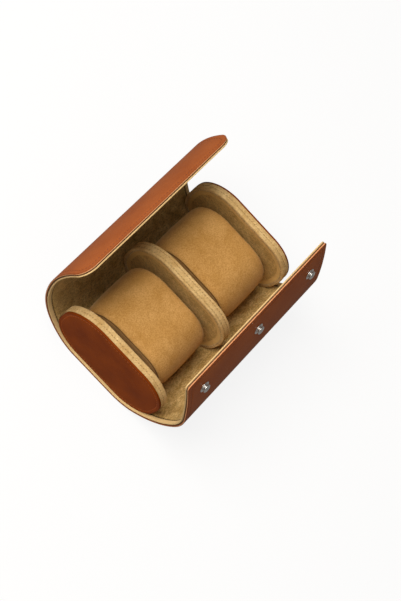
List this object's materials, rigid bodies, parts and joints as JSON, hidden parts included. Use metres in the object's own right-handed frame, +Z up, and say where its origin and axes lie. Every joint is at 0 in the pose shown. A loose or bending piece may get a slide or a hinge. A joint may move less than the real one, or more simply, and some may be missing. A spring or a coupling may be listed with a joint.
{
  "type": "watch travel case",
  "caption": "Travel roll for wristwatches, shown open: a sprung leather wrap with snap studs round padded walls, with a lift-out pillow in each slot.",
  "frame": {"origin": "centre of the flat underside of the wrap, where the case rests", "axes": "+X along the case from the near wall to the far wall, -Y the side of the lip with the snap studs, +Y the side of the flap, +Z up"},
  "size_m": [0.1496, 0.1312, 0.1172],
  "materials": {
    "saddle_leather": "smooth cognac leather, soft sheen",
    "stiffening_board": "flexible fibre board",
    "suede_lining": "brushed microsuede",
    "rim_suede": "brushed microsuede",
    "wall_foam": "dense foam",
    "pillow_suede": "brushed microsuede",
    "pillow_foam": "soft foam",
    "nickel": "polished nickel plate"
  },
  "bodies": {
    "base": {"base_leather": "saddle_leather", "base_board": "stiffening_board", "base_lining": "suede_lining", "near_wall_core": "wall_foam", "near_wall_rim": "rim_suede", "near_wall_outer_face": "saddle_leather", "near_wall_inner_face": "rim_suede", "divider_core": "wall_foam", "divider_rim": "rim_suede", "divider_near_face": "rim_suede", "divider_far_face": "rim_suede", "far_wall_core": "wall_foam", "far_wall_rim": "rim_suede", "far_wall_inner_face": "rim_suede", "far_wall_outer_face": "saddle_leather"},
    "front_side": {"front_side_leather": "saddle_leather", "front_side_board": "stiffening_board", "front_side_lining": "suede_lining"},
    "front_shoulder": {"front_shoulder_leather": "saddle_leather", "front_shoulder_board": "stiffening_board", "front_shoulder_lining": "suede_lining"},
    "lip": {"lip_leather": "saddle_leather", "lip_board": "stiffening_board", "lip_lining": "suede_lining", "snap_studs": "nickel", "snap_stud_rivets": "nickel"},
    "back_side": {"back_side_leather": "saddle_leather", "back_side_board": "stiffening_board", "back_side_lining": "suede_lining"},
    "back_shoulder": {"back_shoulder_leather": "saddle_leather", "back_shoulder_board": "stiffening_board", "back_shoulder_lining": "suede_lining"},
    "flap": {"flap_leather": "saddle_leather", "flap_board": "stiffening_board", "flap_lining": "suede_lining", "snap_sockets": "nickel", "snap_socket_caps": "nickel"},
    "near_pillow": {"near_pillow_cover": "pillow_suede", "near_pillow_foam": "pillow_foam"},
    "far_pillow": {"far_pillow_cover": "pillow_suede", "far_pillow_foam": "pillow_foam"}
  },
  "joints": [
    {"name": "front_side_crease", "type": "hinge", "parent": "base", "child": "front_side", "pos_m": [0, -0.04593, 0.01989], "axis": [-1, 0, 0], "range_deg": [-12, 24], "stiffness_Nm_per_rad": 0.8},
    {"name": "front_shoulder_crease", "type": "hinge", "parent": "front_side", "child": "front_shoulder", "pos_m": [0, -0.05854, 0.04866], "axis": [-1, 0, 0], "range_deg": [-12, 18], "stiffness_Nm_per_rad": 0.6},
    {"name": "lip_crease", "type": "hinge", "parent": "front_shoulder", "child": "lip", "pos_m": [0, -0.05685, 0.07063], "axis": [-1, 0, 0], "range_deg": [-12, 22], "stiffness_Nm_per_rad": 0.4},
    {"name": "back_side_crease", "type": "hinge", "parent": "base", "child": "back_side", "pos_m": [0, 0.04756, 0.01868], "axis": [1, 0, 0], "range_deg": [-12, 31], "stiffness_Nm_per_rad": 0.8},
    {"name": "back_shoulder_crease", "type": "hinge", "parent": "back_side", "child": "back_shoulder", "pos_m": [0, 0.06234, 0.04607], "axis": [1, 0, 0], "range_deg": [-12, 17], "stiffness_Nm_per_rad": 0.6},
    {"name": "flap_crease", "type": "hinge", "parent": "back_shoulder", "child": "flap", "pos_m": [0, 0.06564, 0.06915], "axis": [1, 0, 0], "range_deg": [-12, 24], "stiffness_Nm_per_rad": 0.4},
    {"name": "near_pillow_lift", "type": "slide", "parent": "base", "child": "near_pillow", "axis": [0, 0, -1], "range_m": [-0.066, 0]},
    {"name": "far_pillow_lift", "type": "slide", "parent": "base", "child": "far_pillow", "axis": [0, 0, -1], "range_m": [-0.066, 0]}
  ]
}
